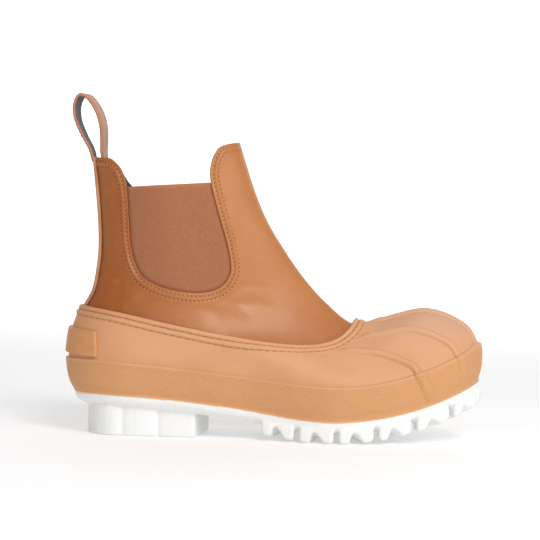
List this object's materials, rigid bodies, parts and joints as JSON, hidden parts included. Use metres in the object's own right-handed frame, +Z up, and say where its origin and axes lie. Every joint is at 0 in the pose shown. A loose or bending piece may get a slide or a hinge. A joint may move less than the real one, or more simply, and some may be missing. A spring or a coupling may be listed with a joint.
{
  "type": "pull-on duck boot",
  "caption": "Pull-on ankle boot with a leather shaft, elastic side gores and a back pull loop, set in a ribbed rubber shell on a white lugged sole.",
  "frame": {"origin": "centre of the footprint of the bounding box, on the floor that the boot stands on", "axes": "+X along the boot to the toe, +Y to the inner side of the right foot, +Z up"},
  "size_m": [0.29, 0.1043, 0.2347],
  "materials": {
    "white_rubber": "matt white moulded rubber",
    "tan_rubber": "matt tan moulded rubber with a fine knurl on the foxing band",
    "tan_leather": "smooth semi-gloss tan leather",
    "strap_leather": "plain tan leather with pale cut edges",
    "loop_strap": "tan strap lined with dark grey tape",
    "elastic": "ribbed brown elastic",
    "lining": "dark grey footbed cloth"
  },
  "bodies": {
    "root": {"outsole": "white_rubber", "rubber_shell": "tan_rubber", "heel_tab": "tan_rubber", "leather_upper": "tan_leather", "back_strap": "strap_leather", "pull_loop": "loop_strap", "gore_outer": "elastic", "gore_inner": "elastic", "insole": "lining"}
  },
  "joints": []
}
